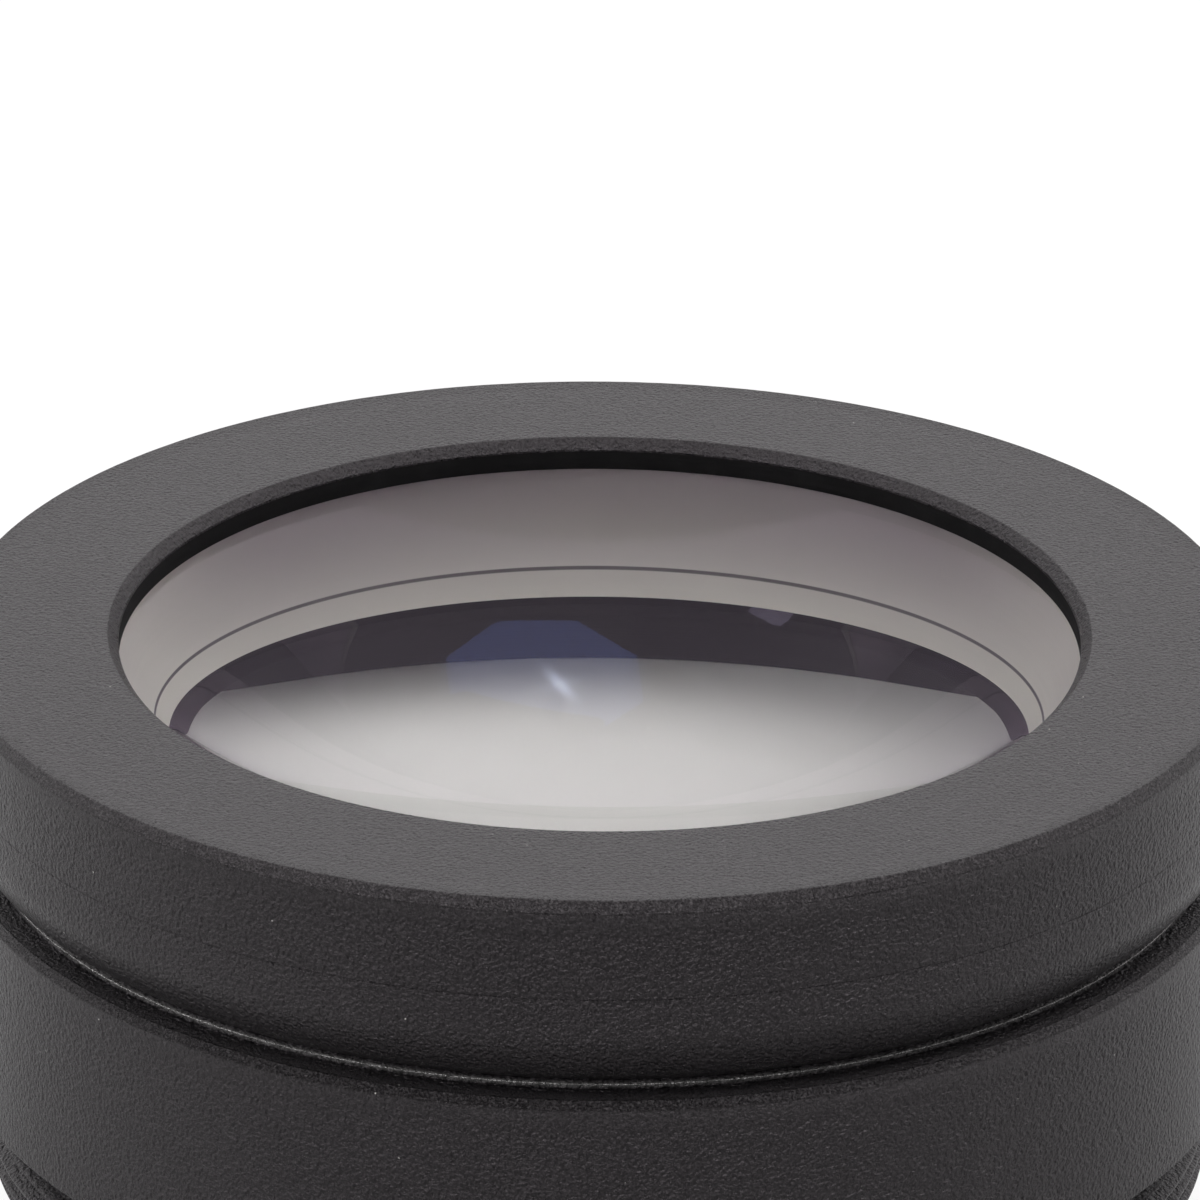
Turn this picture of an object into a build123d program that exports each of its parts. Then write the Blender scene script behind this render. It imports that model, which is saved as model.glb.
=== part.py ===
from build123d import *
from math import sqrt
import os

# A screw-on auxiliary lens for a stereo microscope: a cemented glass doublet in a black three-piece
# housing with a male M48 x 0.75 mount thread. Millimetres. The axis is +Z, the origin is the centre
# of the thread's end face, and the front glass and the annular face look up.

# Diameters, worked from the mount thread outwards and inwards
thread_d = 48.0
shoulder_width = 1.1
flange_step = 0.125
body_wall = 2.6
screw_gap = 0.05
cell_wall = 3.35
glass_gap = 0.05
lip_reach = 0.475
rear_wall = 2.4
relief_depth = 0.8
seat_reach = 0.8

# Heights, from the thread's end face up
thread_length = 2.25
relief_length = 2.05
body_height = 9.1
cell_height = 4.25
cap_height = 3.9
lip_thickness = 1.25
seat_thickness = 1.6
seat_land = 0.35
end_gap = 0.3
neck_gap = 0.05

# Edges of the housing
thread_chamfer = 0.3
shoulder_break = 0.12
body_chamfer = 0.3
seam_break = 0.05
cap_chamfer_in = 0.24
cap_chamfer_down = 0.47
opening_chamfer = 0.43
lead_chamfer = 0.3
waist_in = 1.475
waist_drop = 2.55
bead_out = 0.15
bead_height = 0.2
flare_wall = 1.6

# Doublet: three spherical faces, two ground edges
front_radius = 60.0
cement_radius = 80.0
rear_radius = 27.0
flint_edge = 8.95
crown_edge = 2.4
rim_flat = 0.3

# Radii that follow
thread_r = thread_d / 2
body_r = thread_r + shoulder_width
flange_r = body_r + flange_step
spigot_bore_r = body_r - body_wall
spigot_r = spigot_bore_r - screw_gap
cell_bore_r = spigot_r - cell_wall
glass_r = cell_bore_r - glass_gap
lip_r = glass_r - lip_reach
rear_bore_r = thread_r - rear_wall
relief_r = thread_r - relief_depth
seat_r = cell_bore_r - seat_reach
waist_r = flange_r - waist_in
bead_r = waist_r + bead_out
flare_r = spigot_r - flare_wall

# Levels that follow
shoulder_z = thread_length + relief_length
shelf_z = shoulder_z + body_height
seam_z = shelf_z + cell_height
face_z = seam_z + cap_height
lip_z = face_z - lip_thickness
cement_z = lip_z - flint_edge
rear_edge_z = cement_z - crown_edge
waist_z = shelf_z + bead_height + bead_out


def sag(radius, r):
    """How far a sphere of this radius falls away from its pole at the distance r from the axis."""
    return radius - sqrt(radius**2 - r**2)


def cap_arc(radius, r, edge_z, bulge):
    """Half of a lens face, from the axis out to r: bulge is 1 if its pole stands above its edge, else -1."""
    pole_z = edge_z + bulge * sag(radius, r)
    middle = (r / 2, pole_z - bulge * sag(radius, r / 2))
    return ThreePointArc((0, pole_z), middle, (r, edge_z))


# The ball of the rear face meets the sharp inner corner of the seat
rear_pole_z = rear_edge_z - sag(rear_radius, glass_r)
seat_z = rear_pole_z + sag(rear_radius, seat_r) - glass_gap
cell_end_z = seat_z - seat_thickness
bore_step_z = cell_end_z - end_gap
front_r = glass_r - rim_flat

# Front element: a thick-edged flint, hollow in front and hollow behind, with a ground edge.
# A narrow flat round its front face is what the cap's lip bears on.
with BuildPart() as front_element:
    with BuildSketch(Plane.XZ):
        with BuildLine():
            front_face = cap_arc(front_radius, front_r, lip_z, -1)
            cement_face = cap_arc(cement_radius, glass_r, cement_z, 1)
            Polyline(front_face @ 1, (glass_r, lip_z), cement_face @ 1)
            Line(front_face @ 0, cement_face @ 0)
        make_face()
    revolve(axis=Axis.Z)
front_element.part.label = "front_element"

# Rear element: a crown that is round on both faces, cemented to the flint, which its front face fits
with BuildPart() as rear_element:
    with BuildSketch(Plane.XZ):
        with BuildLine():
            joined_face = cap_arc(cement_radius, glass_r, cement_z, 1)
            rear_face = cap_arc(rear_radius, glass_r, rear_edge_z, -1)
            Line(joined_face @ 1, rear_face @ 1)
            Line(joined_face @ 0, rear_face @ 0)
        make_face()
    revolve(axis=Axis.Z)
rear_element.part.label = "rear_element"

# Front cap: the annular face and a lip over the glass, with a skirt that screws down on the cell's neck.
# Its outer edge and the edge of its opening are chamfered.
with BuildPart() as front_cap:
    with BuildSketch(Plane.XZ):
        with BuildLine():
            Polyline(
                (lip_r, lip_z),
                (lip_r, face_z - opening_chamfer),
                (lip_r + opening_chamfer, face_z),
                (flange_r - cap_chamfer_in, face_z),
                (flange_r, face_z - cap_chamfer_down),
                (flange_r, seam_z + seam_break),
                (flange_r - seam_break, seam_z),
                (spigot_bore_r + lead_chamfer, seam_z),
                (spigot_bore_r, seam_z + lead_chamfer),
                (spigot_bore_r, lip_z),
                close=True,
            )
        make_face()
    revolve(axis=Axis.Z)
front_cap.part.label = "front_cap"

# Lens cell: a flange that shows between the seam and the shelf, with a waist turned in under it and a
# thin bead at its foot; a neck for the cap above, a spigot for the body below, and the seat inside.
neck_z = lip_z - neck_gap
with BuildPart() as lens_cell:
    with BuildSketch(Plane.XZ):
        with BuildLine():
            waist_top = (flange_r, waist_z + waist_drop)
            waist = TangentArc(waist_top, (waist_r, waist_z), tangent=(0, -1))
            Polyline(
                waist @ 1,
                (waist_r, shelf_z + bead_height + bead_out / 2),
                (bead_r, shelf_z + bead_height),
                (bead_r, shelf_z),
                (spigot_r, shelf_z),
                (spigot_r, cell_end_z + lead_chamfer),
                (spigot_r - lead_chamfer, cell_end_z),
                (flare_r, cell_end_z),
                (seat_r, seat_z - seat_land),
                (seat_r, seat_z),
                (cell_bore_r, seat_z),
                (cell_bore_r, neck_z),
                (spigot_r - lead_chamfer, neck_z),
                (spigot_r, neck_z - lead_chamfer),
                (spigot_r, seam_z),
                (flange_r - seam_break, seam_z),
                (flange_r, seam_z - seam_break),
                waist @ 0,
            )
        make_face()
    revolve(axis=Axis.Z)
lens_cell.part.label = "lens_cell"

# Body ring: takes the cell's spigot from above, with a chamfered shelf under the flange. Below its
# shoulder are the relief and the mount thread, at its major diameter.
with BuildPart() as body_ring:
    with BuildSketch(Plane.XZ):
        with BuildLine():
            Polyline(
                (rear_bore_r + thread_chamfer, 0),
                (thread_r - thread_chamfer, 0),
                (thread_r, thread_chamfer),
                (thread_r, thread_length - thread_chamfer),
                (thread_r - thread_chamfer, thread_length),
                (relief_r, thread_length),
                (relief_r, shoulder_z),
                (body_r - shoulder_break, shoulder_z),
                (body_r, shoulder_z + shoulder_break),
                (body_r, shelf_z - body_chamfer),
                (body_r - body_chamfer, shelf_z),
                (spigot_bore_r + lead_chamfer, shelf_z),
                (spigot_bore_r, shelf_z - lead_chamfer),
                (spigot_bore_r, bore_step_z),
                (rear_bore_r, bore_step_z),
                (rear_bore_r, thread_chamfer),
                close=True,
            )
        make_face()
    revolve(axis=Axis.Z)
body_ring.part.label = "body_ring"

os.makedirs("parts", exist_ok=True)
export_step(front_element.part, "parts/front_element.step")
export_step(rear_element.part, "parts/rear_element.step")
export_step(front_cap.part, "parts/front_cap.step")
export_step(lens_cell.part, "parts/lens_cell.step")
export_step(body_ring.part, "parts/body_ring.step")
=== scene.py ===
"""Studio scene of a screw-on auxiliary lens for a stereo microscope.

A cemented glass doublet sits in three turned black rings. The rings' outlines and the glass faces are turned
round the optical axis on numpy grids, the mount thread is a helix cut into its ring's grid, and the powder
coat's grain, the dust and the ground glass are procedural finishes. Sizes in the classes are in millimetres.
"""
import logging
import math
from dataclasses import dataclass
from enum import Enum
from typing import Any, Callable, Optional, Sequence, Union

import bpy
import numpy as np
from mathutils import Matrix, Vector


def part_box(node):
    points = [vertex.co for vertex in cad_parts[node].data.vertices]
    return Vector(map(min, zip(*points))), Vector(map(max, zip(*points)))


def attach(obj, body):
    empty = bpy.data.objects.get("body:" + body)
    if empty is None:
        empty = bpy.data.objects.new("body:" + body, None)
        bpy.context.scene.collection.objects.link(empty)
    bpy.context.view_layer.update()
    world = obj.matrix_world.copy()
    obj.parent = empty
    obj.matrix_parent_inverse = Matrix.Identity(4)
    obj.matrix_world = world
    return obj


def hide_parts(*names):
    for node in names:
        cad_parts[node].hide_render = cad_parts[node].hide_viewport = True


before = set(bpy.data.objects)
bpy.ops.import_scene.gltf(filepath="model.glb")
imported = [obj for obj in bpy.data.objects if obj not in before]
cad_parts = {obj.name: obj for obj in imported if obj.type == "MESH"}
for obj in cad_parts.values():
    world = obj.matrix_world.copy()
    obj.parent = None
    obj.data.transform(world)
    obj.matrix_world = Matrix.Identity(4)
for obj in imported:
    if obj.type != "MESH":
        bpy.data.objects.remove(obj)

LOG = logging.getLogger("auxiliary_lens")
MM = 0.001
BODY = "root"
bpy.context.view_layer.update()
TINY = 1e-6
SAME_POINT = 1e-5
SIDE_SHARE = 0.45
FLINT_INDEX = 1.62
CROWN_INDEX = 1.517

Colour = tuple[float, float, float]


class Slot(Enum):
    """Names of the material slots."""

    PAINT = "housing_paint"
    FLINT = "flint_glass"
    CROWN = "crown_glass"


class Tag(Enum):
    """Names of the point attributes that the finishes read."""

    WEAR = "wear"
    BARE = "bare"


def node_box(node: str) -> tuple[np.ndarray, np.ndarray]:
    """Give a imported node's corners in millimetres.

    Args:
        node: name of the node.

    Returns:
        The lowest and the highest corner.
    """
    low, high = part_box(node)
    return np.array(low) / MM, np.array(high) / MM


# Outlines: points of (radius, height) in millimetres


def arc(centre: Sequence[float], radius: float, start: float, end: float, count: int) -> np.ndarray:
    """Points on a circle: centre + radius * (cos a, sin a), with a running evenly from start to end.

    Args:
        centre: radius and height of the circle's centre.
        radius: the circle's radius.
        start: first angle in radians.
        end: last angle in radians.
        count: number of points.

    Returns:
        An array of count points.
    """
    angle = np.linspace(start, end, count)
    return np.stack([centre[0] + radius * np.cos(angle), centre[1] + radius * np.sin(angle)], axis=1)


def lens_arc(radius: float, rim: float, edge: float, bulge: int, count: int) -> np.ndarray:
    """Half of a spherical lens face, from the pole on the axis to the rim.

    The height is edge + bulge * (sqrt(radius^2 - r^2) - sqrt(radius^2 - rim^2)).

    Args:
        radius: the sphere's radius.
        rim: distance of the face's edge from the axis.
        edge: height of the face's edge.
        bulge: 1 where the pole stands above the edge, -1 where it lies below.
        count: number of points.

    Returns:
        An array of count points, the first of them on the axis.
    """
    r = np.linspace(0.0, rim, count)
    height = edge + bulge * (np.sqrt(radius**2 - r**2) - math.sqrt(radius**2 - rim**2))
    return np.stack([r, height], axis=1)


def rounded(corners: np.ndarray, radii: np.ndarray, count: int = 5) -> np.ndarray:
    """Round a closed outline's corners with arcs.

    Each arc touches both sides at radius / tan(half the corner's angle) from the corner, and its centre lies
    on the corner's bisector. A side limits the arcs at its ends to under half its length.

    Args:
        corners: n points of a closed outline.
        radii: n radii, 0 where a corner stays.
        count: points on each arc.

    Returns:
        The points of the rounded outline, with none doubled.
    """
    back = np.roll(corners, 1, axis=0) - corners
    ahead = np.roll(corners, -1, axis=0) - corners
    short = np.minimum(np.linalg.norm(back, axis=1), np.linalg.norm(ahead, axis=1))
    back = back / np.linalg.norm(back, axis=1)[:, None]
    ahead = ahead / np.linalg.norm(ahead, axis=1)[:, None]
    half = np.arccos(np.clip((back * ahead).sum(1), -1, 1)) / 2
    reach = np.minimum(radii / np.tan(half), SIDE_SHARE * short)
    radius = reach * np.tan(half)
    middle = back + ahead
    length = np.linalg.norm(middle, axis=1)
    straight = length < TINY
    middle = middle / np.where(straight, 1, length)[:, None]
    centre = corners + middle * np.where(straight, 0, radius / np.sin(half))[:, None]
    start = corners + back * reach[:, None] - centre
    end = corners + ahead * reach[:, None] - centre
    first = np.arctan2(start[:, 1], start[:, 0])
    sweep = (np.arctan2(end[:, 1], end[:, 0]) - first + np.pi) % (2 * np.pi) - np.pi
    angle = first[:, None] + sweep[:, None] * np.linspace(0, 1, count)[None]
    size = np.where(straight, 0, radius)[:, None]
    points = np.stack([centre[:, :1] + size * np.cos(angle), centre[:, 1:] + size * np.sin(angle)], axis=2)
    points[radii <= 0] = corners[radii <= 0][:, None]
    points = points.reshape(-1, 2)
    apart = np.linalg.norm(points - np.roll(points, 1, axis=0), axis=1)
    return points[apart > SAME_POINT]


def spaced(points: np.ndarray, step: float, closed: bool = True) -> np.ndarray:
    """Divide long sides of an outline evenly, so that none is longer than the step.

    Args:
        points: points of the outline.
        step: longest side allowed.
        closed: whether the last point joins the first.

    Returns:
        The outline with more points.
    """
    ends = np.roll(points, -1, axis=0) if closed else points[1:]
    starts = points if closed else points[:-1]
    pieces = np.maximum(1, np.ceil(np.linalg.norm(ends - starts, axis=1) / step).astype(int))
    which = np.repeat(np.arange(len(starts)), pieces)
    place = (np.arange(len(which)) - np.repeat(np.cumsum(pieces) - pieces, pieces)) / pieces[which]
    found = starts[which] + (ends - starts)[which] * place[:, None]
    return found if closed else np.vstack([found, points[-1:]])


# Meshes


@dataclass
class Grid:
    """A surface turned round the Z axis: one row of points per point of the outline."""

    points: np.ndarray
    quads: np.ndarray
    fans: np.ndarray
    band: np.ndarray
    fan_band: np.ndarray

    def volume(self) -> float:
        """Signed volume: a sixth of the sum over the triangles of a . (b x c).

        Returns:
            The volume, which is below 0 where the faces point inwards.
        """
        tris = np.vstack([self.quads[:, [0, 1, 2]], self.quads[:, [0, 2, 3]], self.fans])
        a, b, c = (self.points[tris[:, k]] for k in range(3))
        return float((a * np.cross(b, c)).sum() / 6)


Shape = Callable[[np.ndarray, np.ndarray, np.ndarray], tuple[np.ndarray, np.ndarray]]


def turned(outline: np.ndarray, turns: int, shape: Optional[Shape] = None) -> Grid:
    """Turn an outline round the Z axis.

    The point at (radius, height) and angle a is (radius * cos a, radius * sin a, height). An outline that
    starts and ends on the axis gives one pole at each end, and any other outline closes on itself.

    Args:
        outline: n points of (radius, height).
        turns: number of points round the axis.
        shape: changes the arrays (radius, height, angle), each n by turns, into a new radius and height.

    Returns:
        The grid, with the side of the outline that each face lies on.
    """
    poles = bool(outline[0, 0] < TINY and outline[-1, 0] < TINY)
    rows = outline[1:-1] if poles else outline
    n = len(rows)
    angle = np.broadcast_to(np.linspace(0, 2 * np.pi, turns, endpoint=False)[None], (n, turns))
    radius = np.broadcast_to(rows[:, :1], (n, turns)).copy()
    height = np.broadcast_to(rows[:, 1:], (n, turns)).copy()
    if shape is not None:
        radius, height = shape(radius, height, angle)
    points = np.stack([radius * np.cos(angle), radius * np.sin(angle), height], axis=2).reshape(-1, 3)
    row = np.arange(n - 1 if poles else n)[:, None]
    next_row = (row + 1) % n
    column = np.arange(turns)[None]
    next_column = (column + 1) % turns
    quads = np.stack([row * turns + column, row * turns + next_column,
                      next_row * turns + next_column, next_row * turns + column], axis=2).reshape(-1, 4)
    band = np.repeat(np.arange(len(row)) + int(poles), turns)
    fans, fan_band = np.zeros((0, 3), int), np.zeros(0, int)
    if poles:
        top, end = len(points), len(points) + 1
        points = np.vstack([points, [[0, 0, outline[0, 1]], [0, 0, outline[-1, 1]]]])
        first, second = column[0], next_column[0]
        last = (n - 1) * turns
        fans = np.vstack([np.stack([np.full(turns, top), second, first], axis=1),
                          np.stack([np.full(turns, end), last + first, last + second], axis=1)])
        fan_band = np.repeat([0, len(outline) - 2], turns)
    grid = Grid(points, quads, fans, band, fan_band)
    if grid.volume() < 0:
        grid.quads = grid.quads[:, ::-1]
        grid.fans = grid.fans[:, ::-1]
    return grid


def mesh_object(name: str, grid: Grid, slots: np.ndarray, crease_deg: float = 180.0,
                tags: Optional[dict[Tag, np.ndarray]] = None) -> bpy.types.Object:
    """Make a smooth-shaded object of a grid in millimetres.

    Args:
        name: the object's name.
        grid: the surface.
        slots: material index of each side of the outline.
        crease_deg: edges that turn by more than this are shaded sharp.
        tags: one value for each point of the grid, by attribute.

    Returns:
        The object, at the origin, linked to the scene.
    """
    mesh = bpy.data.meshes.new(name)
    mesh.vertices.add(len(grid.points))
    mesh.vertices.foreach_set("co", (grid.points * MM).astype(np.float32).ravel())
    corners = np.concatenate([grid.quads.ravel(), grid.fans.ravel()])
    sizes = np.concatenate([np.full(len(grid.quads), 4), np.full(len(grid.fans), 3)])
    mesh.loops.add(len(corners))
    mesh.loops.foreach_set("vertex_index", corners.astype(np.int32))
    mesh.polygons.add(len(sizes))
    mesh.polygons.foreach_set("loop_start", (np.cumsum(sizes) - sizes).astype(np.int32))
    mesh.polygons.foreach_set("use_smooth", np.ones(len(sizes), bool))
    bands = np.concatenate([grid.band, grid.fan_band])
    mesh.polygons.foreach_set("material_index", slots[bands].astype(np.int32))
    mesh.update(calc_edges=True)
    mesh.validate()
    for tag, values in (tags or {}).items():
        layer = mesh.attributes.new(tag.value, "FLOAT", "POINT")
        layer.data.foreach_set("value", values.astype(np.float32))
    if crease_deg < 180.0:
        mesh.set_sharp_from_angle(angle=math.radians(crease_deg))
    obj = bpy.data.objects.new(name, mesh)
    bpy.context.scene.collection.objects.link(obj)
    return obj


def near(outline: np.ndarray, centre: Sequence[float], reach: float) -> np.ndarray:
    """Weight of each outline point near a place: exp(-(distance / reach)^4), so from 1 there to 0.

    Args:
        outline: points of (radius, height).
        centre: radius and height of the place.
        reach: distance at which the weight has fallen to about a third.

    Returns:
        One weight for each point.
    """
    return np.exp(-(np.linalg.norm(outline - np.array(centre), axis=1) / reach) ** 4)


def grainy(rows: int, turns: int, smooth: tuple[float, float], seed: int) -> np.ndarray:
    """Smooth random heights on a grid that closes round the axis, with a spread of 1.

    White noise is blurred by multiplying its Fourier transform with exp(-(f * smooth)^2 / 2) both ways.

    Args:
        rows: points along the outline.
        turns: points round the axis.
        smooth: width of the blur along the outline and round the axis, in grid steps.
        seed: seed of the random numbers.

    Returns:
        A rows by turns array.
    """
    noise = np.random.default_rng(seed).normal(size=(rows, turns))
    across = np.fft.fftfreq(rows)[:, None] * 2 * np.pi * smooth[0]
    around = np.fft.fftfreq(turns)[None] * 2 * np.pi * smooth[1]
    blurred = np.fft.ifft2(np.fft.fft2(noise) * np.exp(-(across**2 + around**2) / 2)).real
    return blurred / blurred.std()


# Shader graphs


class Value:
    """A node's output socket. Python operators on it add Math nodes."""

    def __init__(self, graph: "Graph", socket: bpy.types.NodeSocket) -> None:
        """Keep the graph and the socket."""
        self.graph = graph
        self.socket = socket

    def maths(self, operation: str, first: Any, second: Any = 0.0) -> "Value":
        """Add a Math node of the given operation on two values."""
        return self.graph.node("ShaderNodeMath", {"operation": operation}, {0: first, 1: second})

    def __add__(self, other: Any) -> "Value":
        """Sum."""
        return self.maths("ADD", self, other)

    def __radd__(self, other: Any) -> "Value":
        """Sum with the value on the right."""
        return self.maths("ADD", other, self)

    def __sub__(self, other: Any) -> "Value":
        """Difference."""
        return self.maths("SUBTRACT", self, other)

    def __rsub__(self, other: Any) -> "Value":
        """Difference with the value on the right."""
        return self.maths("SUBTRACT", other, self)

    def __mul__(self, other: Any) -> "Value":
        """Product."""
        return self.maths("MULTIPLY", self, other)

    def __rmul__(self, other: Any) -> "Value":
        """Product with the value on the right."""
        return self.maths("MULTIPLY", other, self)

    def __truediv__(self, other: Any) -> "Value":
        """Quotient."""
        return self.maths("DIVIDE", self, other)

    def __rtruediv__(self, other: Any) -> "Value":
        """Quotient with the value on the right."""
        return self.maths("DIVIDE", other, self)

    def __pow__(self, other: Any) -> "Value":
        """Power."""
        return self.maths("POWER", self, other)

    def __rpow__(self, other: Any) -> "Value":
        """Power with the value on the right."""
        return self.maths("POWER", other, self)

    def __gt__(self, other: Any) -> "Value":
        """1 where the value is greater, else 0."""
        return self.maths("GREATER_THAN", self, other)

    def __lt__(self, other: Any) -> "Value":
        """1 where the value is less, else 0."""
        return self.maths("LESS_THAN", self, other)

    def larger(self, other: Any) -> "Value":
        """The larger of two values."""
        return self.maths("MAXIMUM", self, other)


class Graph:
    """A node tree that is filled from Python expressions."""

    def __init__(self, tree: bpy.types.NodeTree) -> None:
        """Empty the tree and keep it."""
        self.tree = tree
        tree.nodes.clear()

    @classmethod
    def material(cls, name: str) -> tuple["Graph", bpy.types.Material]:
        """Make a material with an empty graph.

        Args:
            name: the material's name.

        Returns:
            The graph and the material.
        """
        made = bpy.data.materials.new(name)
        made.use_nodes = True
        return cls(made.node_tree), made

    def node(self, kind: str, settings: Optional[dict[str, Any]] = None,
             sockets: Optional[dict[Any, Any]] = None, out: Union[int, str] = 0) -> Value:
        """Add a node.

        Args:
            kind: the node's type.
            settings: properties that are set before the sockets.
            sockets: a constant or a Value for each input, by name or number.
            out: the output wanted, by name or number.

        Returns:
            The wanted output.
        """
        made = self.tree.nodes.new(kind)
        for key, setting in (settings or {}).items():
            setattr(made, key, setting)
        for key, given in (sockets or {}).items():
            if isinstance(given, Value):
                self.tree.links.new(given.socket, made.inputs[key])
            else:
                made.inputs[key].default_value = given
        return Value(self, made.outputs[out])

    def place(self) -> Value:
        """Object coordinates, in metres."""
        return self.node("ShaderNodeTexCoord", out="Object")

    def stretched(self, vector: Value, scale: Sequence[float]) -> Value:
        """Multiply a vector by a scale for each axis."""
        return self.node("ShaderNodeVectorMath", {"operation": "MULTIPLY"}, {0: vector, 1: scale})

    def axis(self, vector: Value, letter: str) -> Value:
        """One component of a vector."""
        return self.node("ShaderNodeSeparateXYZ", None, {0: vector}, letter)

    def light_path(self, name: str) -> Value:
        """What the light path tells under a name."""
        return self.node("ShaderNodeLightPath", out=name)

    def noise(self, vector: Value, size_mm: float, detail: float = 2.0, rough: float = 0.5) -> Value:
        """Noise from 0 to 1 whose lumps are about size_mm across.

        Args:
            vector: coordinates in metres.
            size_mm: size of the lumps.
            detail: octaves added.
            rough: strength of each octave beside the last.

        Returns:
            The noise value.
        """
        sockets = {"Vector": vector, "Scale": 1 / (size_mm * MM), "Detail": detail, "Roughness": rough}
        return self.node("ShaderNodeTexNoise", {"noise_dimensions": "3D"}, sockets, "Fac")

    def cells(self, vector: Value, size_mm: float, out: str = "Distance") -> Value:
        """Voronoi cells about size_mm across: distance from a cell's centre in cell sizes, or its colour."""
        sockets = {"Vector": vector, "Scale": 1 / (size_mm * MM)}
        return self.node("ShaderNodeTexVoronoi", {"voronoi_dimensions": "3D"}, sockets, out)

    def tag(self, tag: Tag) -> Value:
        """A point attribute of the piece."""
        return self.node("ShaderNodeAttribute", {"attribute_name": tag.value}, out="Fac")

    def between(self, value: Value, low: float, high: float) -> Value:
        """A smooth step from 0 at low to 1 at high, which may be the smaller of the two."""
        return self.node("ShaderNodeMapRange", {"interpolation_type": "SMOOTHSTEP"},
                         {"Value": value, "From Min": low, "From Max": high})

    def mixed(self, share: Any, first: Any, second: Any) -> Value:
        """A colour between two colours."""
        return self.node("ShaderNodeMix", {"data_type": "RGBA"}, {0: share, 6: first, 7: second}, 2)

    def bump(self, height: Value, depth_mm: float, below: Optional[Value] = None) -> Value:
        """Tilt the surface's normal by heights.

        Args:
            height: heights from 0 to 1.
            depth_mm: what a height of 1 stands for.
            below: another normal that this one is laid over.

        Returns:
            The normal.
        """
        sockets: dict[Any, Any] = {"Height": height, "Distance": depth_mm * MM}
        if below is not None:
            sockets["Normal"] = below
        return self.node("ShaderNodeBump", None, sockets)

    def glow(self, colour: Any, strength: float) -> Value:
        """An emission shader."""
        return self.node("ShaderNodeEmission", None, {"Color": colour, "Strength": strength})

    def blended(self, share: Any, first: Value, second: Value) -> Value:
        """A shader between two shaders."""
        return self.node("ShaderNodeMixShader", None, {0: share, 1: first, 2: second})

    def output(self, shader: Value, kind: str = "ShaderNodeOutputMaterial") -> None:
        """Send a shader to the output."""
        made = self.tree.nodes.new(kind)
        self.tree.links.new(shader.socket, made.inputs["Surface"])


def rgba(colour: Sequence[float]) -> tuple[float, float, float, float]:
    """A colour with full alpha."""
    return (*colour, 1.0)


# Finishes


@dataclass(frozen=True)
class PowderCoat:
    """Black powder coat with a fine leathery grain, crumbly and mottled where it covers an edge."""

    name: str = "powder_coat"
    colour: Colour = (0.0010, 0.0009, 0.0010)
    faded: Colour = (0.022, 0.0200, 0.0213)
    crumb: Colour = (0.16, 0.15, 0.155)
    sheen: Colour = (1.0, 0.90, 0.965)
    dust: Colour = (0.50, 0.49, 0.47)
    bare_metal: Colour = (0.62, 0.61, 0.60)
    roughness: float = 0.29
    grain_roughness: float = 0.12
    crumb_roughness: float = 0.4
    bare_polish: float = 0.1
    grain_mm: float = 0.155
    grain_depth_mm: float = 0.28
    pebble_ratio: float = 1.2
    pebble_share: float = 0.25
    mottle_mm: float = 0.09
    mottle_edge: tuple[float, float] = (0.38, 0.72)
    broad_mm: float = 7.0
    broad_range: tuple[float, float] = (0.7, 0.6)
    crumb_mm: float = 0.095
    crumb_depth_mm: float = 0.60
    crumb_edge: tuple[float, float] = (0.45, 0.7)
    speck_cell_mm: float = 1.15
    speck_mm: float = 0.036
    speck_lot: float = 0.35

    def make(self) -> bpy.types.Material:
        """Build the material: grain by noise and cells, dust by rare cells, edges by the wear attribute.

        Returns:
            The material.
        """
        graph, made = Graph.material(self.name)
        place = graph.place()
        wear = graph.tag(Tag.WEAR)
        bare = graph.tag(Tag.BARE)
        lumps = graph.noise(place, self.grain_mm, 3.0, 0.55)
        pebbles = graph.cells(place, self.grain_mm * self.pebble_ratio)
        grain = lumps * (1 - self.pebble_share) + pebbles * self.pebble_share
        crumbs = graph.noise(place, self.crumb_mm, 3.0, 0.7)
        broad = graph.noise(place, self.broad_mm, 3.0)
        mottle = graph.noise(place, self.mottle_mm, 2.0, 0.6)
        fade = graph.between(mottle, *self.mottle_edge) * (self.broad_range[0] + broad * self.broad_range[1])
        specks = graph.cells(place, self.speck_cell_mm) < self.speck_mm / self.speck_cell_mm
        shade = graph.cells(place, self.speck_cell_mm, "Color")
        lot = graph.node("ShaderNodeSeparateColor", None, {0: shade})
        dust = specks * graph.between(lot, self.speck_lot, 1.0)
        colour = graph.mixed(fade, rgba(self.colour), rgba(self.faded))
        colour = graph.mixed(wear * graph.between(crumbs, *self.crumb_edge), colour, rgba(self.crumb))
        colour = graph.mixed(bare, colour, rgba(self.bare_metal))
        colour = graph.mixed(dust, colour, rgba(self.dust))
        roughness = (lumps - 0.5) * self.grain_roughness + self.roughness
        roughness = roughness + wear * (crumbs - 0.5) * self.crumb_roughness - bare * self.bare_polish
        fine = graph.bump(grain, self.grain_depth_mm)
        rough = graph.bump(crumbs * wear, self.crumb_depth_mm, fine)
        graph.output(graph.node("ShaderNodeBsdfPrincipled", None, {
            "Base Color": colour, "Roughness": roughness, "Metallic": bare, "Normal": rough, "IOR": 1.5,
            "Specular Tint": rgba(self.sheen)}))
        return made


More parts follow.
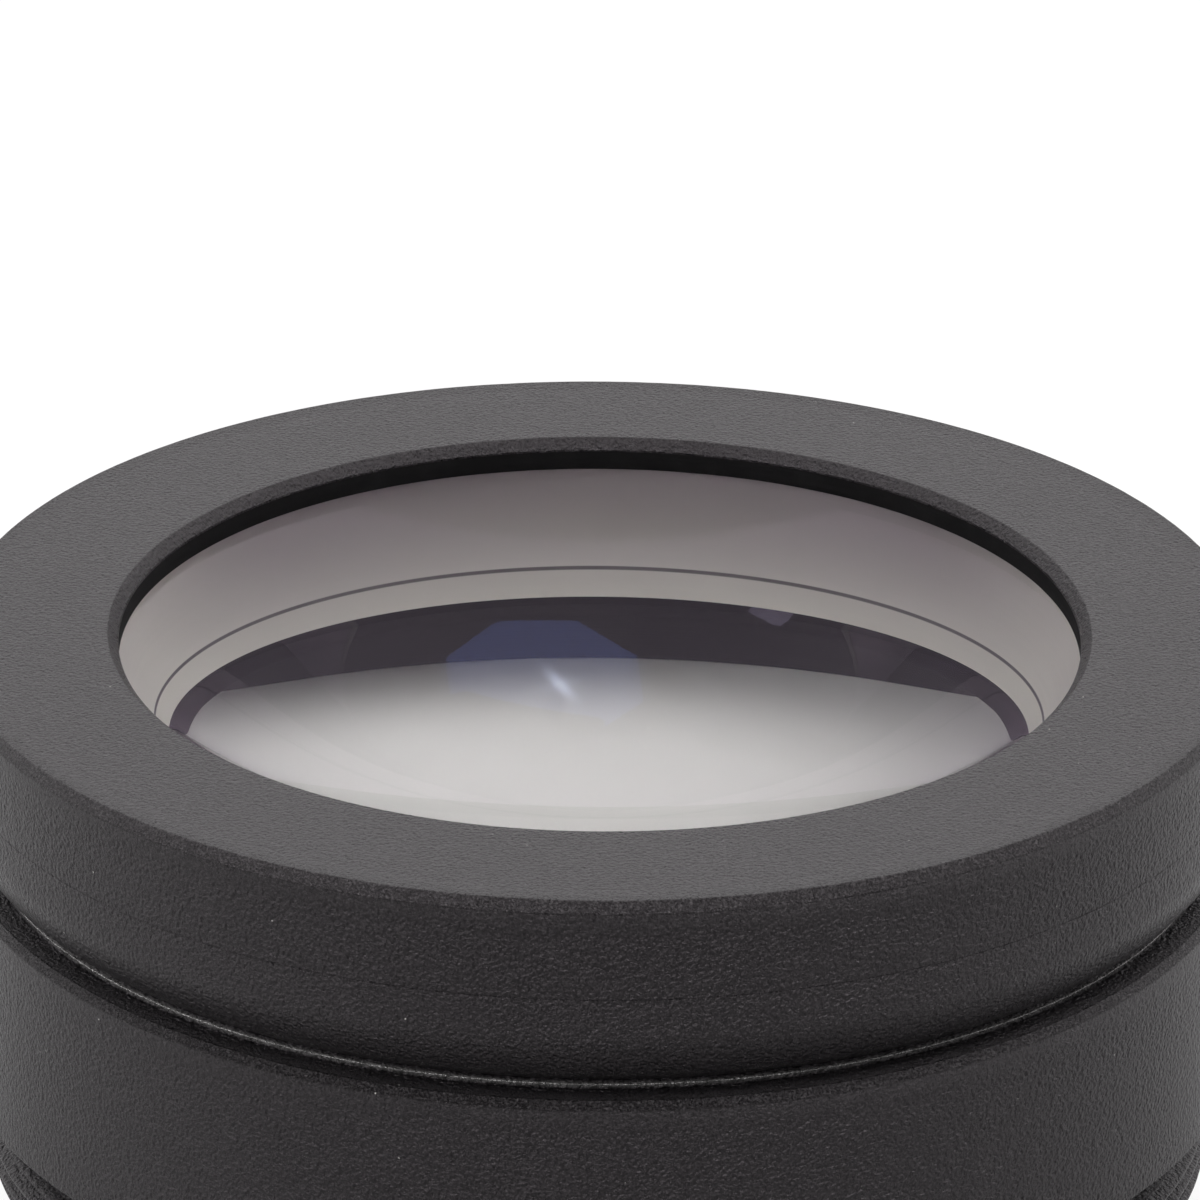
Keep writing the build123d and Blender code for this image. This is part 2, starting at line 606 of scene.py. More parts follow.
@dataclass(frozen=True)
class FlatBlack:
    """Dull black inside the bores, which keeps stray light down."""

    name: str = "flat_black"
    colour: Colour = (0.0035, 0.0032, 0.0035)
    dusty: Colour = (0.008, 0.0076, 0.0078)
    line_mm: float = 0.12
    line_depth_mm: float = 0.02
    dust_mm: float = 1.3
    dust_edge: tuple[float, float] = (0.45, 0.75)

    def make(self) -> bpy.types.Material:
        """Build the material: fine turning lines round the axis and a little dust.

        Returns:
            The material.
        """
        graph, made = Graph.material(self.name)
        place = graph.place()
        lines = graph.noise(graph.stretched(place, (0.02, 0.02, 1.0)), self.line_mm, 2.0)
        dust = graph.noise(place, self.dust_mm, 4.0, 0.65)
        colour = graph.mixed(graph.between(dust, *self.dust_edge), rgba(self.colour), rgba(self.dusty))
        graph.output(graph.node("ShaderNodeBsdfPrincipled", None, {
            "Base Color": colour, "Roughness": 0.75 + dust * 0.2,
            "Normal": graph.bump(lines, self.line_depth_mm), "IOR": 1.25}))
        return made


@dataclass(frozen=True)
class GroundEdge:
    """The glasses' fine-ground edge: pale, faintly streaked round the axis, with a dark line at the joint.

    Its colour is darker towards the top of the back: painted shade under the lip, added to the shade that the
    lamps give there.
    """

    name: str = "ground_edge"
    joint_z: float = 11.35
    joint_half: float = 0.16
    colour: Colour = (0.92, 0.90, 0.83)
    stained: Colour = (0.84, 0.82, 0.755)
    # colour of the painted shade under the lip, at the top of the back
    shaded: Colour = (0.42, 0.385, 0.395)
    groove: Colour = (0.16, 0.145, 0.15)
    # heights and depths in millimetres over which the painted shade comes in
    painted_shade_z: tuple[float, float] = (3.35, 20.3)
    painted_shade_y: tuple[float, float] = (2.0, 15.0)
    streak_mm: float = 0.35
    cloud_mm: float = 2.2
    grit_mm: float = 0.06
    depth_mm: float = 0.01

    def make(self) -> bpy.types.Material:
        """Build the material: streaks by noise that is squeezed along the axis, painted shade by height and
        depth towards the back, the joint by its height.

        Returns:
            The material.
        """
        graph, made = Graph.material(self.name)
        place = graph.place()
        streaks = graph.noise(graph.stretched(place, (0.06, 0.06, 1.0)), self.streak_mm, 4.0, 0.6)
        clouds = graph.noise(graph.stretched(place, (0.5, 0.5, 1.0)), self.cloud_mm, 2.0)
        grit = graph.noise(place, self.grit_mm, 1.0)
        colour = graph.mixed(streaks * 0.6 + clouds * 0.4, rgba(self.stained), rgba(self.colour))
        height = graph.axis(place, "Z") / MM
        back = graph.axis(place, "Y") / MM
        # painted shade: the edge is darker towards the top and the back, where the lip shades it
        shade = graph.between(height, *self.painted_shade_z) * graph.between(back, *self.painted_shade_y)
        colour = graph.mixed(shade, colour, rgba(self.shaded))
        away = graph.node("ShaderNodeMath", {"operation": "ABSOLUTE"}, {0: height - self.joint_z})
        joint = graph.between(away, self.joint_half * 1.3, self.joint_half * 0.7)
        colour = graph.mixed(joint, colour, rgba(self.groove))
        normal = graph.bump(grit * 0.5 + streaks * 0.5, self.depth_mm)
        graph.output(graph.node("ShaderNodeBsdfPrincipled", None, {
            "Base Color": colour, "Roughness": 0.55 + grit * 0.2, "Normal": normal, "IOR": 1.45}))
        return made


@dataclass(frozen=True)
class PolishedGlass:
    """A polished glass face with an anti-reflection coat, which weakens and tints what it mirrors."""

    name: str
    index: float
    tint: Colour = (1.0, 1.0, 1.0)
    least: float = 0.0
    share: float = 1.0
    power: float = 8.0
    clear: Colour = (0.985, 0.985, 0.98)
    smear_mm: float = 6.0

    def make(self) -> bpy.types.Material:
        """Build the material: refraction mixed with a tinted mirror.

        The mirror's share is least + share * F + (1 - share) * F^power. F is the bare glass's reflectance,
        which is 1 where all light is turned back inside, so that stays.

        Returns:
            The material.
        """
        graph, made = Graph.material(self.name)
        bare = graph.node("ShaderNodeFresnel", None, {"IOR": self.index})
        mirrored = bare * self.share + (bare ** self.power) * (1 - self.share) + self.least
        smear = graph.noise(graph.place(), self.smear_mm, 3.0)
        mirror = graph.node("ShaderNodeBsdfGlossy", None, {"Color": rgba(self.tint), "Roughness": 0.0})
        through = graph.node("ShaderNodeBsdfRefraction", None, {
            "Color": rgba(self.clear), "Roughness": 0.0, "IOR": self.index})
        graph.output(graph.blended(mirrored * (0.95 + smear * 0.1), through, mirror))
        return made


@dataclass(frozen=True)
class CementedFace:
    """The flint's side of the cemented joint: clear, because the crown's side bends the light."""

    name: str = "cemented_face"

    def make(self) -> bpy.types.Material:
        """Build the material.

        Returns:
            The material.
        """
        graph, made = Graph.material(self.name)
        graph.output(graph.node("ShaderNodeBsdfTransparent"))
        return made


@dataclass(frozen=True)
class WhiteTable:
    """Plain white table: pure white in the picture where it is well lit, and shaded where the lens stands."""

    name: str = "white_table"
    colour: Colour = (0.80, 0.79, 0.785)
    fibre_mm: float = 0.4
    fibre_share: float = 0.1
    fibre_tone: float = 0.96
    lift: float = 0.9
    front_mm: float = -40.0
    back_mm: float = 22.0
    front_share: float = 0.4
    back_share: float = 0.9

    def make(self) -> bpy.types.Material:
        """Build the material: paper-white diffuse, covered by white for the camera's own rays.

        Mirrored in the paint, the table is white behind the lens and grows darker towards the front.

        Returns:
            The material.
        """
        graph, made = Graph.material(self.name)
        place = graph.place()
        fibre = graph.noise(place, self.fibre_mm, 3.0) * self.fibre_share
        colour = graph.mixed(fibre, rgba(self.colour), rgba([c * self.fibre_tone for c in self.colour]))
        paper = graph.node("ShaderNodeBsdfDiffuse", None, {"Color": colour})
        white = graph.glow((1, 1, 1, 1), 1.0)
        black = graph.glow((0, 0, 0, 1), 0.0)
        straight = graph.light_path("Is Camera Ray")
        mirrored = graph.light_path("Is Glossy Ray") * (1 - graph.light_path("Is Transmission Ray"))
        back = graph.between(graph.axis(place, "Y"), self.front_mm * MM, self.back_mm * MM)
        share = back * (self.back_share - self.front_share) + self.front_share
        kept = graph.blended(mirrored, paper, graph.blended(share, black, white))
        graph.output(graph.blended(straight * self.lift, kept, white))
        return made


# The housing and the glass


@dataclass
class Turning:
    """What the turned pieces share."""

    name: str
    node: str
    slot: Slot
    turns: int = 600
    step: float = 0.9

    def dress(self, obj: bpy.types.Object, materials: Sequence[bpy.types.Material]) -> bpy.types.Object:
        """Give a piece its materials and tie it to the frame.

        Args:
            obj: the piece.
            materials: its materials, in the order of its slots.

        Returns:
            The piece.
        """
        for material in materials:
            obj.data.materials.append(material)
        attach(obj, BODY)
        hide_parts(self.node)
        return obj


@dataclass
class PaintedRing(Turning):
    """A painted ring: a rounded outline, with edges where the coat is rough."""

    rough_mm: float = 0.007
    margin: float = 0.1
    seed: int = 1

    def outline(self) -> np.ndarray:
        """The ring's closed outline in (radius, height)."""
        raise NotImplementedError

    def inside(self, radius: np.ndarray, height: np.ndarray) -> np.ndarray:
        """Whether the sides of the outline, by the places of their middles, are dull black inside."""
        raise NotImplementedError

    def worn_edges(self) -> list[tuple[float, float, float, float]]:
        """Edges where the paint crumbles: radius, height, reach and strength."""
        return []

    def bare_edges(self) -> list[tuple[float, float, float]]:
        """Edges where metal shows: radius, height and reach."""
        return []

    def roughened(self, weight: np.ndarray, outline: np.ndarray) -> Shape:
        """Make the function that pushes points inwards by weight * rough_mm * |noise|.

        Args:
            weight: one weight for each point of the outline.
            outline: the closed outline.

        Returns:
            The function, which moves the points along the outline's normals.
        """
        along = np.roll(outline, -1, axis=0) - np.roll(outline, 1, axis=0)
        along /= np.linalg.norm(along, axis=1)[:, None]
        noise = grainy(len(outline), self.turns, (0.8, 1.0), self.seed)
        push = -self.rough_mm * weight[:, None] * np.abs(noise)
        side = self.outward(outline, along)

        def shape(radius: np.ndarray, height: np.ndarray, angle: np.ndarray) -> tuple[np.ndarray, np.ndarray]:
            """Push the points inwards."""
            return radius + push * side[:, :1], height + push * side[:, 1:]

        return shape

    @staticmethod
    def outward(outline: np.ndarray, along: np.ndarray) -> np.ndarray:
        """Find the outline's normals that point out of the metal, by the sign of its area.

        Args:
            outline: the closed outline.
            along: its unit tangents.

        Returns:
            One unit normal for each point.
        """
        area = (outline[:, 0] * np.roll(outline[:, 1], -1) - np.roll(outline[:, 0], -1) * outline[:, 1]).sum()
        side = np.stack([along[:, 1], -along[:, 0]], axis=1)
        return side if area > 0 else -side

    def shaped(self, wear: np.ndarray, outline: np.ndarray) -> Shape:
        """The function that shapes the turned grid."""
        return self.roughened(wear, outline)

    def build(self, materials: Sequence[bpy.types.Material]) -> bpy.types.Object:
        """Turn the ring and give it its paint outside and its dull black inside.

        Args:
            materials: the paint and the dull black.

        Returns:
            The piece.
        """
        outline = self.outline()
        wear = np.zeros(len(outline))
        bare = np.zeros(len(outline))
        for r, z, reach, much in self.worn_edges():
            wear = np.maximum(wear, near(outline, (r, z), reach) * much)
        for r, z, reach in self.bare_edges():
            bare = np.maximum(bare, near(outline, (r, z), reach))
        middle = (outline + np.roll(outline, -1, axis=0)) / 2
        slots = self.inside(middle[:, 0], middle[:, 1]).astype(int)
        grid = turned(outline, self.turns, self.shaped(wear, outline))
        tags = {Tag.WEAR: np.repeat(wear, self.turns), Tag.BARE: np.repeat(bare, self.turns)}
        return self.dress(mesh_object(self.name, grid, slots, tags=tags), materials)


@dataclass
class FrontCap(PaintedRing):
    """The annular face with its chamfered edges, the lip over the glass and the skirt."""

    lip_thickness: float = 1.25
    lip_r: float = 18.575
    skirt_r: float = 22.5
    chamfer_in: float = 0.24
    chamfer_down: float = 0.47
    opening_chamfer: float = 0.43
    seam_break: float = 0.02
    lead: float = 0.3
    outer_wear: tuple[float, float] = (0.27, 1.0)
    opening_wear: tuple[float, float] = (0.26, 0.55)

    def outline(self) -> np.ndarray:
        """Set out the cap from the lip's lower edge round to the bore.

        Returns:
            The closed outline.
        """
        low, high = node_box(self.node)
        r, seam, face = high[0], low[2], high[2]
        lip = face - self.lip_thickness
        corners = np.array([
            (self.lip_r, lip), (self.lip_r, face - self.opening_chamfer),
            (self.lip_r + self.opening_chamfer, face),
            (r - self.chamfer_in, face), (r, face - self.chamfer_down), (r, seam + self.seam_break),
            (r - self.seam_break, seam), (self.skirt_r + self.lead, seam), (self.skirt_r, seam + self.lead),
            (self.skirt_r, lip)])
        radii = np.array([0.05, 0.10, 0.08, 0.07, 0.10, 0.01, 0.01, 0.05, 0.05, 0.05])
        return spaced(rounded(corners, radii), self.step)

    def worn_edges(self) -> list[tuple[float, float, float, float]]:
        """The outer chamfer and, less so, the opening's: radius, height, reach and strength."""
        r, _, face = node_box(self.node)[1]
        return [(r - self.chamfer_in / 2, face - self.chamfer_down / 2, *self.outer_wear),
                (self.lip_r + self.opening_chamfer / 2, face - self.opening_chamfer / 2, *self.opening_wear)]

    def inside(self, radius: np.ndarray, height: np.ndarray) -> np.ndarray:
        """Everything under the face and within the skirt."""
        face = node_box(self.node)[1][2]
        return (radius < self.skirt_r + self.margin) & (height < face - self.opening_chamfer - self.margin)


@dataclass
class LensCell(PaintedRing):
    """The flange with its waist and bead, the neck, the spigot, and the bore and seat for the glass."""

    neck_z: float = 20.25
    seam_z: float = 17.65
    shelf_z: float = 13.4
    spigot_r: float = 22.45
    bore_r: float = 19.1
    seat_r: float = 18.3
    seat_z: float = 8.1815
    seat_land: float = 0.35
    flare_r: float = 20.85
    waist_in: float = 1.475
    waist_drop: float = 2.55
    bead_out: float = 0.15
    bead_height: float = 0.2
    bare_reach: float = 0.016
    seam_break: float = 0.02
    lead: float = 0.3

    def outline(self) -> np.ndarray:
        """Set out the cell from the foot of its waist round the spigot, bore and neck.

        The waist is an arc that meets the wall upright, of radius (in^2 + drop^2) / (2 in).

        Returns:
            The closed outline.
        """
        low, high = node_box(self.node)
        r, end = high[0], low[2]
        waist_r = r - self.waist_in
        bead_z = self.shelf_z + self.bead_height
        waist_z = bead_z + self.bead_out
        bead_r = waist_r + self.bead_out
        curve = (self.waist_in**2 + self.waist_drop**2) / (2 * self.waist_in)
        lean = math.asin(self.waist_drop / curve)
        waist = arc((r - curve, waist_z + self.waist_drop), curve, 0.0, -lean, 15)
        turned_in = np.array([
            (waist_r, bead_z + self.bead_out / 2), (bead_r, bead_z), (bead_r, self.shelf_z),
            (self.spigot_r, self.shelf_z), (self.spigot_r, end + self.lead), (self.spigot_r - self.lead, end),
            (self.flare_r, end), (self.seat_r, self.seat_z - self.seat_land), (self.seat_r, self.seat_z),
            (self.bore_r, self.seat_z), (self.bore_r, self.neck_z), (self.spigot_r - self.lead, self.neck_z),
            (self.spigot_r, self.neck_z - self.lead), (self.spigot_r, self.seam_z),
            (r - self.seam_break, self.seam_z), (r, self.seam_z - self.seam_break)])
        radii = np.array([0.02, 0.03, 0.02, 0.02, 0.05, 0.05, 0.05, 0.02,
                          0.0, 0.02, 0.02, 0.05, 0.05, 0.02, 0.01, 0.01])
        outline = rounded(np.vstack([waist, turned_in]), np.concatenate([np.zeros(len(waist)), radii]))
        return spaced(outline, self.step)

    def bare_edges(self) -> list[tuple[float, float, float]]:
        """The bead's upper edge: radius, height and reach."""
        bead_r = node_box(self.node)[1][0] - self.waist_in + self.bead_out
        return [(bead_r, self.shelf_z + self.bead_height, self.bare_reach)]

    def inside(self, radius: np.ndarray, height: np.ndarray) -> np.ndarray:
        """The bore, seat, spigot and neck."""
        return radius < self.spigot_r + self.margin


@dataclass
class BodyRing(PaintedRing):
    """The tall ring with its chamfered shelf, the relief and the helical mount thread."""

    bore_r: float = 21.6
    socket_r: float = 22.5
    step_z: float = 6.2815
    shoulder_z: float = 4.3
    relief_r: float = 23.2
    chamfer: float = 0.3
    shoulder_break: float = 0.12
    thread_length: float = 2.25
    thread_r: float = 24.0
    pitch: float = 0.75
    thread_chamfer: float = 0.3
    thread_step: float = 0.05
    depth_share: float = 0.6134
    crest_share: float = 0.125
    root_share: float = 0.25
    root_gap: float = 0.04
    shelf_wear: tuple[float, float] = (0.22, 1.0)

    @property
    def thread_depth(self) -> float:
        """Depth of a 60 degree metric thread, by its share of the pitch."""
        return self.depth_share * self.pitch

    def outline(self) -> np.ndarray:
        """Set out the ring from the end face up the thread and the wall and down the bore.

        Returns:
            The closed outline.
        """
        r, _, shelf = node_box(self.node)[1]
        root = self.thread_r - self.thread_depth - self.root_gap
        rows = round(self.thread_length / self.thread_step) + 1
        thread = np.stack([np.full(rows, self.thread_r), np.linspace(0.0, self.thread_length, rows)], axis=1)
        wall = np.array([
            (self.relief_r, self.thread_length), (self.relief_r, self.shoulder_z),
            (r - self.shoulder_break, self.shoulder_z), (r, self.shoulder_z + self.shoulder_break),
            (r, shelf - self.chamfer), (r - self.chamfer, shelf), (self.socket_r + self.chamfer, shelf),
            (self.socket_r, shelf - self.chamfer), (self.socket_r, self.step_z), (self.bore_r, self.step_z),
            (self.bore_r, self.thread_chamfer), (self.bore_r + self.thread_chamfer, 0.0), (root, 0.0)])
        radii = np.array([0.03, 0.15, 0.05, 0.05, 0.10, 0.07, 0.05, 0.05, 0.05, 0.05, 0.05, 0.05, 0.0])
        outline = rounded(np.vstack([thread, wall]), np.concatenate([np.zeros(len(thread)), radii]))
        return spaced(outline, self.step)

    def worn_edges(self) -> list[tuple[float, float, float, float]]:
        """The shelf's chamfer: radius, height, reach and strength."""
        r, _, shelf = node_box(self.node)[1]
        return [(r - self.chamfer / 2, shelf - self.chamfer / 2, *self.shelf_wear)]

    def inside(self, radius: np.ndarray, height: np.ndarray) -> np.ndarray:
        """The bore and the socket."""
        return (radius < self.socket_r + self.chamfer) & (height > self.margin)

    def allowed(self, height: np.ndarray, angle: np.ndarray) -> np.ndarray:
        """The thread's surface: the radius at each height and angle.

        The phase of a right-handed helix is height / pitch - angle / (2 pi). Its distance from the nearest
        crest, from 0 to 1, sets the depth: a flat crest an eighth of the pitch wide, then straight down to a
        flat root a quarter of the pitch wide. Both ends are chamfered at 45 degrees.

        Args:
            height: heights above the end face.
            angle: angles round the axis.

        Returns:
            The greatest radius that the thread leaves there.
        """
        phase = (height / self.pitch - angle / (2 * np.pi)) % 1.0
        away = np.abs(phase - 0.5) * 2
        slope = 1 - self.crest_share - self.root_share
        depth = np.clip((away - self.crest_share) / slope, 0, 1) * self.thread_depth
        start = self.thread_r - self.thread_chamfer + height
        end = self.thread_r - self.thread_chamfer + (self.thread_length - height)
        return np.minimum(self.thread_r - depth, np.minimum(start, end))

    def shaped(self, wear: np.ndarray, outline: np.ndarray) -> Shape:
        """Make the function that roughens the shelf's edge, then cuts the thread.

        Args:
            wear: weight of each point of the outline.
            outline: the closed outline.

        Returns:
            The function.
        """
        rough = self.roughened(wear, outline)
        cut = (outline[:, 1] <= self.thread_length + TINY) & (outline[:, 0] > self.thread_r - TINY)

        def shape(radius: np.ndarray, height: np.ndarray, angle: np.ndarray) -> tuple[np.ndarray, np.ndarray]:
            """Push the rough edges, then limit the thread's rows to its surface."""
            radius, height = rough(radius, height, angle)
            return np.where(cut[:, None], np.minimum(radius, self.allowed(height, angle)), radius), height

        return shape


@dataclass
class Glass(Turning):
    """What the two glasses share: a front face, an edge and a face behind, each with its own finish."""

    turns: int = 320
    rings: int = 70
    crease_deg: float = 20.0

    def faces(self) -> tuple[np.ndarray, np.ndarray, np.ndarray]:
        """The front face from its pole, the corners of the edge, and the face behind to its pole."""
        raise NotImplementedError

    def build(self, materials: Sequence[bpy.types.Material]) -> bpy.types.Object:
        """Turn the glass and give it its finishes.

        Args:
            materials: for the front face, the edge and the face behind.

        Returns:
            The piece.
        """
        front, corners, behind = self.faces()
        edge = spaced(corners, self.step, closed=False)[1:-1]
        sides = np.repeat([0, 1, 2], [len(front) - 1, len(edge) + 1, len(behind) - 1])
        grid = turned(np.vstack([front, edge, behind]), self.turns)
        return self.dress(mesh_object(self.name, grid, sides, self.crease_deg), materials)


@dataclass
class FrontElement(Glass):
    """The flint: hollow in front and behind, with a narrow flat under the lip and a ground edge."""

    front_radius: float = 60.0
    cement_radius: float = 80.0
    edge_length: float = 8.95
    rim_flat: float = 0.3

    def faces(self) -> tuple[np.ndarray, np.ndarray, np.ndarray]:
        """Set out the flint's faces.

        Returns:
            The front face, the corners of the edge and the face behind.
        """
        r, _, top = node_box(self.node)[1]
        joint = top - self.edge_length
        front = lens_arc(self.front_radius, r - self.rim_flat, top, -1, self.rings)
        corners = np.array([(r - self.rim_flat, top), (r, top), (r, joint)])
        return front, corners, lens_arc(self.cement_radius, r, joint, 1, self.rings)[::-1]


@dataclass
class RearElement(Glass):
    """The crown: round on both faces, cemented to the flint, with a ground edge."""

    cement_radius: float = 80.0
    rear_radius: float = 27.0
    joint_z: float = 11.35
    edge_length: float = 2.4
    cement: float = 0.006

    def faces(self) -> tuple[np.ndarray, np.ndarray, np.ndarray]:
        """Set out the crown's faces.

        Returns:
            The front face, the corners of the edge and the face behind.
        """
        r = node_box(self.node)[1][0]
        joint = self.joint_z - self.cement
        edge_end = self.joint_z - self.edge_length
        front = lens_arc(self.cement_radius, r, joint, 1, self.rings)
        corners = np.array([(r, joint), (r, edge_end)])
        return front, corners, lens_arc(self.rear_radius, r, edge_end, -1, self.rings)[::-1]


# The studio


def direction(azimuth_deg: float, elevation_deg: float) -> np.ndarray:
    """Unit vector towards an azimuth, counted from +Y towards +X, and an elevation."""
    a, e = math.radians(azimuth_deg), math.radians(elevation_deg)
    return np.array([math.sin(a) * math.cos(e), math.cos(a) * math.cos(e), math.sin(e)])


def octagon(radius: float, turn_deg: float) -> np.ndarray:
    """Corners of a regular octagon: radius * (cos a, sin a), with a in steps of 45 degrees from turn_deg."""
    angle = np.radians(turn_deg + np.arange(8) * 45.0)
    return radius * np.stack([np.cos(angle), np.sin(angle)], axis=1)


@dataclass(frozen=True)
class Softbox:
    """A flat light panel that faces the lens.

    What a polished face mirrors of it has a colour of its own, because the coats on the glass tint it, and a
    bright core with a cross of seams.
    """

    name: str
    azimuth_deg: float
    elevation_deg: float
    outline: np.ndarray
    strength: float
    mirrored: Colour = (0.0, 0.0, 0.0)
    core: Colour = (0.0, 0.0, 0.0)
    core_at: tuple[float, float] = (0.0, 0.0)
    core_width: float = 22.0
    core_length: float = 80.0
    arm_share: float = 0.2
    distance: float = 700.0

    def build(self, target: np.ndarray) -> None:
        """Make the panel's mesh and its light.

        Args:
            target: the place it faces, in millimetres.
        """
        away = direction(self.azimuth_deg, self.elevation_deg)
        side = np.cross([0.0, 0.0, 1.0], away)
        side /= np.linalg.norm(side)
        up = np.cross(away, side)
        middle = target + away * self.distance
        ring = middle + self.outline[:, :1] * side + self.outline[:, 1:] * up
        mesh = bpy.data.meshes.new(self.name)
        mesh.from_pydata((ring * MM).tolist(), [], [list(range(len(ring)))[::-1]])
        obj = bpy.data.objects.new(self.name, mesh)
        bpy.context.scene.collection.objects.link(obj)
        obj.visible_camera = False
        obj.visible_shadow = False
        hot = middle + self.core_at[0] * side + self.core_at[1] * up
        obj.data.materials.append(self.glow(hot, side, up))

    def glow(self, hot: np.ndarray, side: np.ndarray, up: np.ndarray) -> bpy.types.Material:
        """The light: even and white, or for polished faces mirrored + core * cross.

        The cross is exp(-(u / width)^2 - (v / length)^2) plus arm_share of the same with width and length
        swapped.

        Args:
            hot: the core's middle in millimetres.
            side: unit vector along the panel.
            up: unit vector up the panel.

        Returns:
            The material.
        """
        graph, made = Graph.material(self.name)
        middle = tuple(hot * MM)
        offset = graph.node("ShaderNodeVectorMath", {"operation": "SUBTRACT"}, {0: graph.place(), 1: middle})
        u, v = (graph.node("ShaderNodeVectorMath", {"operation": "DOT_PRODUCT"},
                           {0: offset, 1: tuple(axis / MM)}, "Value") for axis in (side, up))
        tall = self.fade(graph, u / self.core_width, v / self.core_length)
        wide = self.fade(graph, u / self.core_length, v / self.core_width)
        cross = tall + wide * self.arm_share
        core = graph.node("ShaderNodeVectorMath", {"operation": "SCALE"}, {0: self.core, "Scale": cross})
        shown = graph.node("ShaderNodeVectorMath", {"operation": "ADD"}, {0: core, 1: self.mirrored})
        polished = graph.light_path("Is Singular Ray")
        seen = graph.light_path("Glossy Depth") > 0.5
        direct = graph.light_path("Diffuse Depth") < 0.5
        front = 1 - graph.node("ShaderNodeNewGeometry", out="Backfacing")
        even = graph.glow((1, 1, 1, 1), self.strength)
        lit = graph.blended(polished * direct * seen, even, graph.glow(shown, 1.0))
        graph.output(graph.blended(front, graph.node("ShaderNodeBsdfTransparent"), lit))
        return made

    @staticmethod
    def fade(graph: Graph, u: Value, v: Value) -> Value:
        """exp(-(u^2 + v^2))."""
        return graph.node("ShaderNodeMath", {"operation": "EXPONENT"}, {0: (u * u + v * v) * -1.0})


@dataclass(frozen=True)
class Viewpoint:
    """The camera: a long lens that looks down on the face's centre, a little under the picture's middle."""

    elevation_deg: float = 23.57
    distance: float = 362.75
    lens_mm: float = 281.8
    sensor_mm: float = 36.0
    roll_deg: float = 0.42
    picture_px: float = 1200.0
    drop_px: float = 24.5
    clip: tuple[float, float] = (0.01, 50.0)

    def build(self, target: np.ndarray) -> None:
        """Place the camera and make it the scene's.

        Args:
            target: the place it looks at, in millimetres.
        """
        data = bpy.data.cameras.new("camera")
        data.lens = self.lens_mm
        data.sensor_width = self.sensor_mm
        data.clip_start, data.clip_end = self.clip
        camera = bpy.data.objects.new("camera", data)
        bpy.context.scene.collection.objects.link(camera)
        tip = math.atan(self.drop_px / self.picture_px * self.sensor_mm / self.lens_mm)
        elevation = math.radians(self.elevation_deg)
        aim = elevation - tip
        back = np.array([0, -math.cos(aim), math.sin(aim)])
        right, up = np.array([1.0, 0, 0]), np.array([0, math.sin(aim), math.cos(aim)])
        c, s = math.cos(math.radians(self.roll_deg)), math.sin(math.radians(self.roll_deg))
        turn = np.stack([c * right + s * up, c * up - s * right, back], axis=1)
        place = target + self.distance * np.array([0, -math.cos(elevation), math.sin(elevation)])
        camera.matrix_world = Matrix.Translation(Vector(place * MM)) @ Matrix(turn.tolist()).to_4x4()
        bpy.context.scene.camera = camera


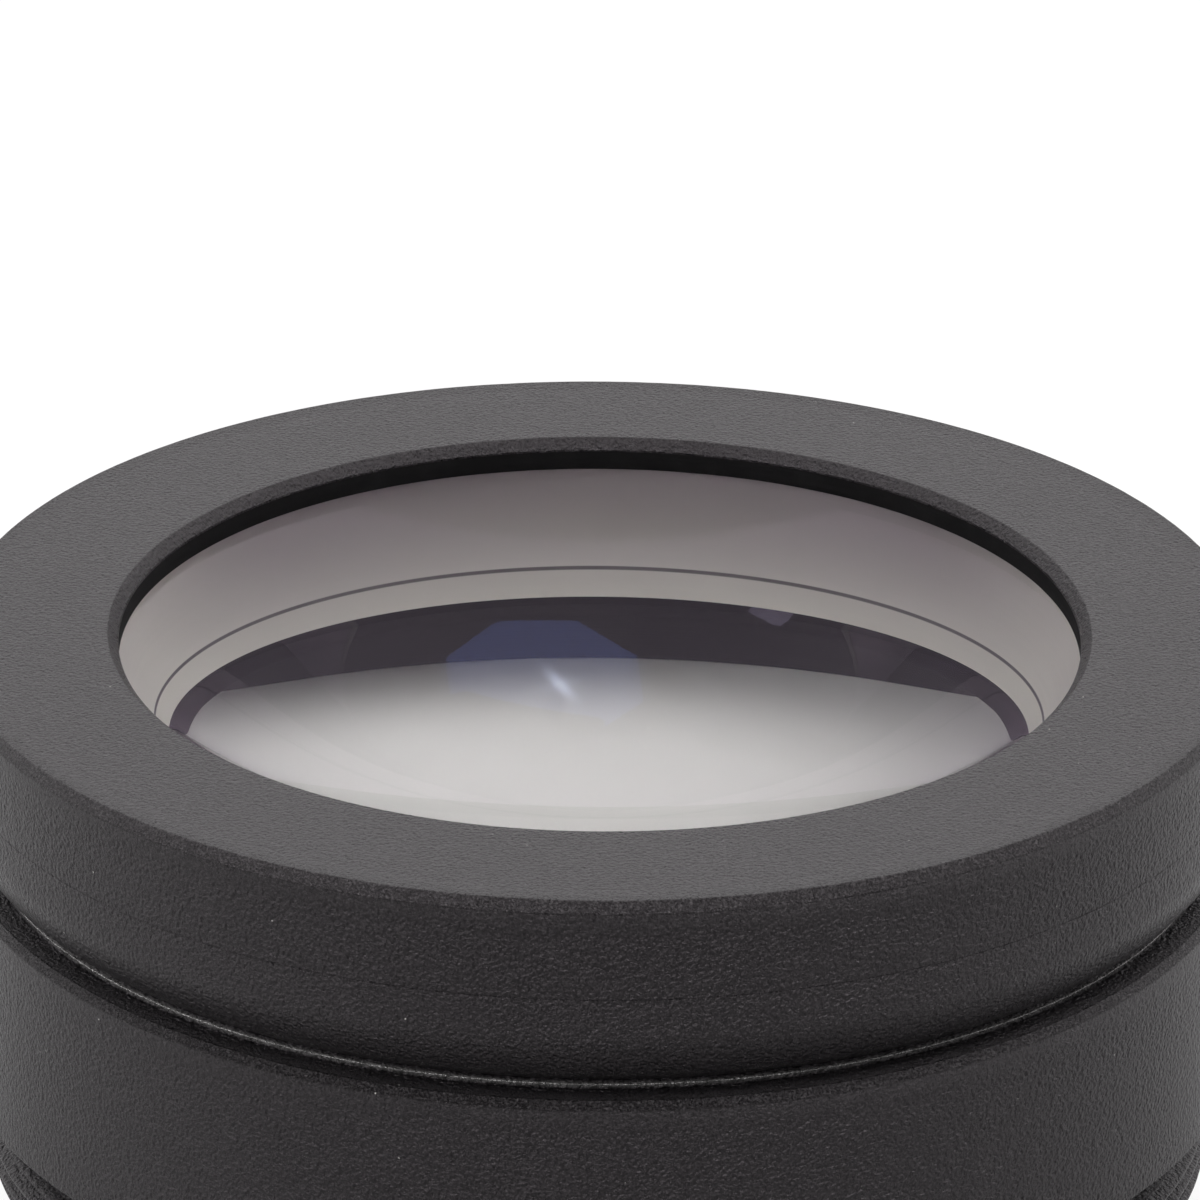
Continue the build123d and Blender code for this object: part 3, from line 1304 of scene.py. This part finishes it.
@dataclass
class Studio:
    """White table, white backdrop under a dim ceiling, five light panels and the camera."""

    target: np.ndarray
    table_size: float = 4000.0
    backdrop_deg: float = 50.5
    ceiling: float = 0.70
    mirrored_ceiling: float = 0.04
    front: float = 0.12
    edge_blur: float = 0.008
    turn_y: tuple[float, float] = (-0.35, 0.05)

    def table(self) -> None:
        """The table top, at height 0."""
        half = self.table_size / 2 * MM
        mesh = bpy.data.meshes.new("table")
        corners = [(-half, -half, 0), (half, -half, 0), (half, half, 0), (-half, half, 0)]
        mesh.from_pydata(corners, [], [(0, 1, 2, 3)])
        obj = bpy.data.objects.new("table", mesh)
        bpy.context.scene.collection.objects.link(obj)
        obj.data.materials.append(WhiteTable().make())

    def surroundings(self) -> None:
        """Light from all round.

        The camera sees white. Everything is lit by a white backdrop behind and beside the lens, a pale
        ceiling above it and a dark room in front. The polished glass mirrors the backdrop up to its upper
        edge, and nothing of it a second time from inside.
        """
        world = bpy.data.worlds.new("surroundings")
        bpy.context.scene.world = world
        world.use_nodes = True
        graph = Graph(world.node_tree)
        way = graph.node("ShaderNodeTexCoord", out="Generated")
        edge = math.sin(math.radians(self.backdrop_deg))
        low = graph.between(graph.axis(way, "Z"), edge + self.edge_blur, edge - self.edge_blur)
        behind = graph.between(graph.axis(way, "Y"), *self.turn_y)
        room = low * (self.front + behind * (1 - self.front)) + (1 - low) * self.ceiling
        twice = (graph.light_path("Glossy Depth") > 0.5) * (graph.light_path("Transmission Depth") > 0.5)
        shown = self.mirrored_ceiling + low * (1 - twice) * (1 - self.mirrored_ceiling)
        polished = graph.light_path("Is Singular Ray") * (graph.light_path("Diffuse Depth") < 0.5)
        strength = graph.light_path("Is Camera Ray").larger(room + polished * (shown - room))
        white = graph.node("ShaderNodeBackground", None, {"Color": (1, 1, 1, 1), "Strength": strength})
        graph.output(white, "ShaderNodeOutputWorld")

    def build(self) -> None:
        """Set up the studio."""
        self.table()
        self.surroundings()
        low_card = np.array([(-230.0, 50.0), (400.0, 2.0), (400.0, -160.0), (-230.0, -160.0)])
        panels = (
            Softbox("top_panel", 97.0, 70.0, octagon(283.0, 22.5), strength=7.6),
            Softbox("side_panel", -142.0, 36.0, octagon(290.0, 22.5), strength=4.6),
            Softbox("front_panel", 149.0, 60.7, octagon(353.0, 0.0), strength=0.3,
                    mirrored=(0.40, 0.55, 1.42), core=(5.2, 5.8, 7.5), core_at=(-50.0, 30.0)),
            Softbox("right_card", 115.0, 15.0, low_card, strength=1.3, mirrored=(2.6, 2.1, 3.3)),
            Softbox("left_card", -142.0, 14.0, octagon(210.0, 10.0), strength=0.5, mirrored=(1.1, 0.95, 1.4)))
        for panel in panels:
            panel.build(self.target)
        Viewpoint().build(self.target)


def main() -> None:
    """Build the lens, report each of its pieces, and set up the studio."""
    logging.basicConfig(level=logging.INFO, format="%(message)s")
    bpy.context.scene.view_settings.view_transform = "Standard"
    housing = [PowderCoat().make(), FlatBlack().make()]
    ground = GroundEdge().make()
    front_coat = PolishedGlass("front_coat", FLINT_INDEX, tint=(0.94, 0.80, 1.0), least=0.012, share=0.20)
    rear_coat = PolishedGlass("rear_coat", CROWN_INDEX).make()
    joint = PolishedGlass("joint_face", CROWN_INDEX / FLINT_INDEX).make()
    pieces = (
        (FrontCap("cap_painted", "front_cap", Slot.PAINT, seed=3), housing),
        (LensCell("cell_painted", "lens_cell", Slot.PAINT, seed=5), housing),
        (BodyRing("body_painted", "body_ring", Slot.PAINT, seed=7), housing),
        (FrontElement("flint_glass", "front_element", Slot.FLINT),
         [front_coat.make(), ground, CementedFace().make()]),
        (RearElement("crown_glass", "rear_element", Slot.CROWN), [joint, ground, rear_coat]))
    for piece, materials in pieces:
        obj = piece.build(materials)
        LOG.info("%s replaces %s: %d faces", obj.name, piece.node, len(obj.data.polygons))
    Studio(np.array([0.0, 0.0, float(node_box("front_cap")[1][2])])).build()


if __name__ == "__main__":
    main()
